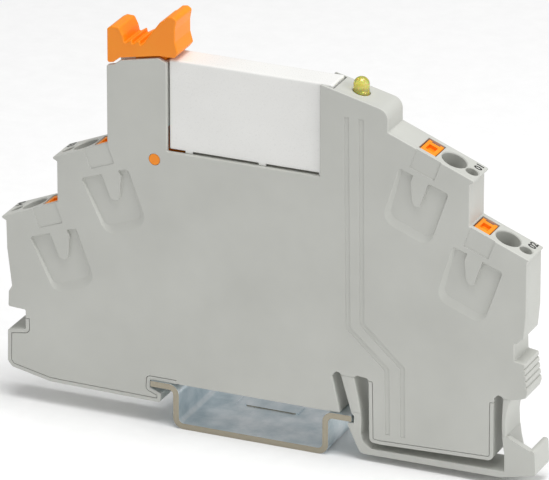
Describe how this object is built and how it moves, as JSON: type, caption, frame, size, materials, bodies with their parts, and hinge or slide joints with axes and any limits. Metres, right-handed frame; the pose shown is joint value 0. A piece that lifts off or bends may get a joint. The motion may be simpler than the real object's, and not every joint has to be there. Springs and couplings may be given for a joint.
{
  "type": "industrial control relay",
  "caption": "Slim rail-mounted plug-in relay module with ejector lever, status lamp, push-in terminals and a sprung foot clipped on a top-hat rail section.",
  "frame": {"origin": "centre of the module's seat on the rail flanges, at mid thickness, on the rail's centre line", "axes": "+X along the module towards the coil terminals and the sprung foot, +Y along the rail towards the module's back face, +Z away from the rail"},
  "size_m": [0.0923, 0.0234, 0.0702],
  "materials": {
    "housing_grey": "light grey polyamide, fine satin texture",
    "lever_orange": "orange polyamide, satin",
    "button_orange": "orange polyamide, satin",
    "relay_white": "white PBT, smooth",
    "bobbin_plastic": "natural PBT",
    "card_plastic": "white moulded plastic",
    "winding_copper": "enamelled copper wire",
    "soft_iron": "plated soft iron",
    "spring_steel": "bright spring steel",
    "tinned_copper": "tin-plated copper",
    "contact_bronze": "spring bronze with silver rivet",
    "zinc_steel": "zinc-plated steel, blue passivated",
    "led_yellow": "diffused yellow epoxy",
    "board_green": "glass-epoxy board with solder resist",
    "epoxy_black": "moulded epoxy",
    "resistor_beige": "lacquered resistor body"
  },
  "bodies": {
    "rail": {"din_rail_section": "zinc_steel"},
    "module": {"busbar_1": "tinned_copper", "busbar_2": "tinned_copper", "busbar_3": "tinned_copper", "busbar_4": "tinned_copper", "clamp_spring_1": "spring_steel", "clamp_spring_2": "spring_steel", "clamp_spring_3": "spring_steel", "clamp_spring_4": "spring_steel", "coil_feed_1": "tinned_copper", "coil_feed_2": "tinned_copper", "foot_flexure_left": "housing_grey", "foot_flexure_right": "housing_grey", "freewheel_diode": "epoxy_black", "front_cover": "housing_grey", "housing_shell": "housing_grey", "indicator_board": "board_green", "led_lead_1": "tinned_copper", "led_lead_2": "tinned_copper", "led_lens": "led_yellow", "rectifier": "epoxy_black", "series_resistor": "resistor_beige", "smoothing_capacitor": "epoxy_black"},
    "lever": {"ejector_lever": "lever_orange"},
    "relay": {"relay_cover": "relay_white", "relay_base": "bobbin_plastic", "coil_bobbin": "bobbin_plastic", "coil_winding": "winding_copper", "coil_core": "soft_iron", "yoke": "soft_iron", "contact_post": "tinned_copper", "fixed_contact": "contact_bronze", "coil_pin_1": "tinned_copper", "coil_pin_2": "tinned_copper"},
    "armature": {"armature": "soft_iron"},
    "card": {"actuator_card": "card_plastic"},
    "contact_leaf": {"moving_contact": "contact_bronze"},
    "foot": {"rail_foot": "housing_grey"},
    "button_1": {"push_button_1": "button_orange"},
    "button_2": {"push_button_2": "button_orange"},
    "button_3": {"push_button_3": "button_orange"},
    "button_4": {"push_button_4": "button_orange"}
  },
  "joints": [
    {"name": "module_slide", "type": "slide", "parent": "rail", "child": "module", "axis": [0, 1, 0], "range_m": [0, 0.013]},
    {"name": "lever_tilt", "type": "hinge", "parent": "module", "child": "lever", "pos_m": [-0.01665, 0, 0.03826], "axis": [0, -1, 0], "range_deg": [0, 30]},
    {"name": "relay_lift", "type": "slide", "parent": "module", "child": "relay", "axis": [0, 0, 1], "range_m": [0, 0.00261]},
    {"name": "armature_pull", "type": "hinge", "parent": "relay", "child": "armature", "pos_m": [-0.0006, 0, 0.04225], "axis": [0, 1, 0], "range_deg": [0, 5]},
    {"name": "card_shift", "type": "slide", "parent": "relay", "child": "card", "axis": [1, 0, 0], "range_m": [0, 0.00086], "stiffness_N_per_m": 300},
    {"name": "contact_bend", "type": "hinge", "parent": "relay", "child": "contact_leaf", "pos_m": [-0.0082, 0, 0.04215], "axis": [0, 1, 0], "range_deg": [0, 4.96]},
    {"name": "foot_release", "type": "slide", "parent": "module", "child": "foot", "axis": [1, 0, 0], "range_m": [0, 0.00115], "stiffness_N_per_m": 4000, "deforming": ["foot_flexure_left", "foot_flexure_right"]},
    {"name": "button_press_1", "type": "slide", "parent": "module", "child": "button_1", "axis": [-0.3746, 0, -0.9272], "range_m": [0, 0.0012], "stiffness_N_per_m": 2500, "deforming": ["clamp_spring_1"]},
    {"name": "button_press_2", "type": "slide", "parent": "module", "child": "button_2", "axis": [-0.3746, 0, -0.9272], "range_m": [0, 0.0012], "stiffness_N_per_m": 2500, "deforming": ["clamp_spring_2"]},
    {"name": "button_press_3", "type": "slide", "parent": "module", "child": "button_3", "axis": [0.3746, 0, -0.9272], "range_m": [0, 0.0012], "stiffness_N_per_m": 2500, "deforming": ["clamp_spring_3"]},
    {"name": "button_press_4", "type": "slide", "parent": "module", "child": "button_4", "axis": [0.3746, 0, -0.9272], "range_m": [0, 0.0012], "stiffness_N_per_m": 2500, "deforming": ["clamp_spring_4"]}
  ],
  "couplings": [
    {"joint": "lever_tilt", "follows": "relay_lift", "rad_per_m": 200},
    {"joint": "armature_pull", "follows": "card_shift", "rad_per_m": 101},
    {"joint": "contact_bend", "follows": "card_shift", "rad_per_m": 100}
  ]
}
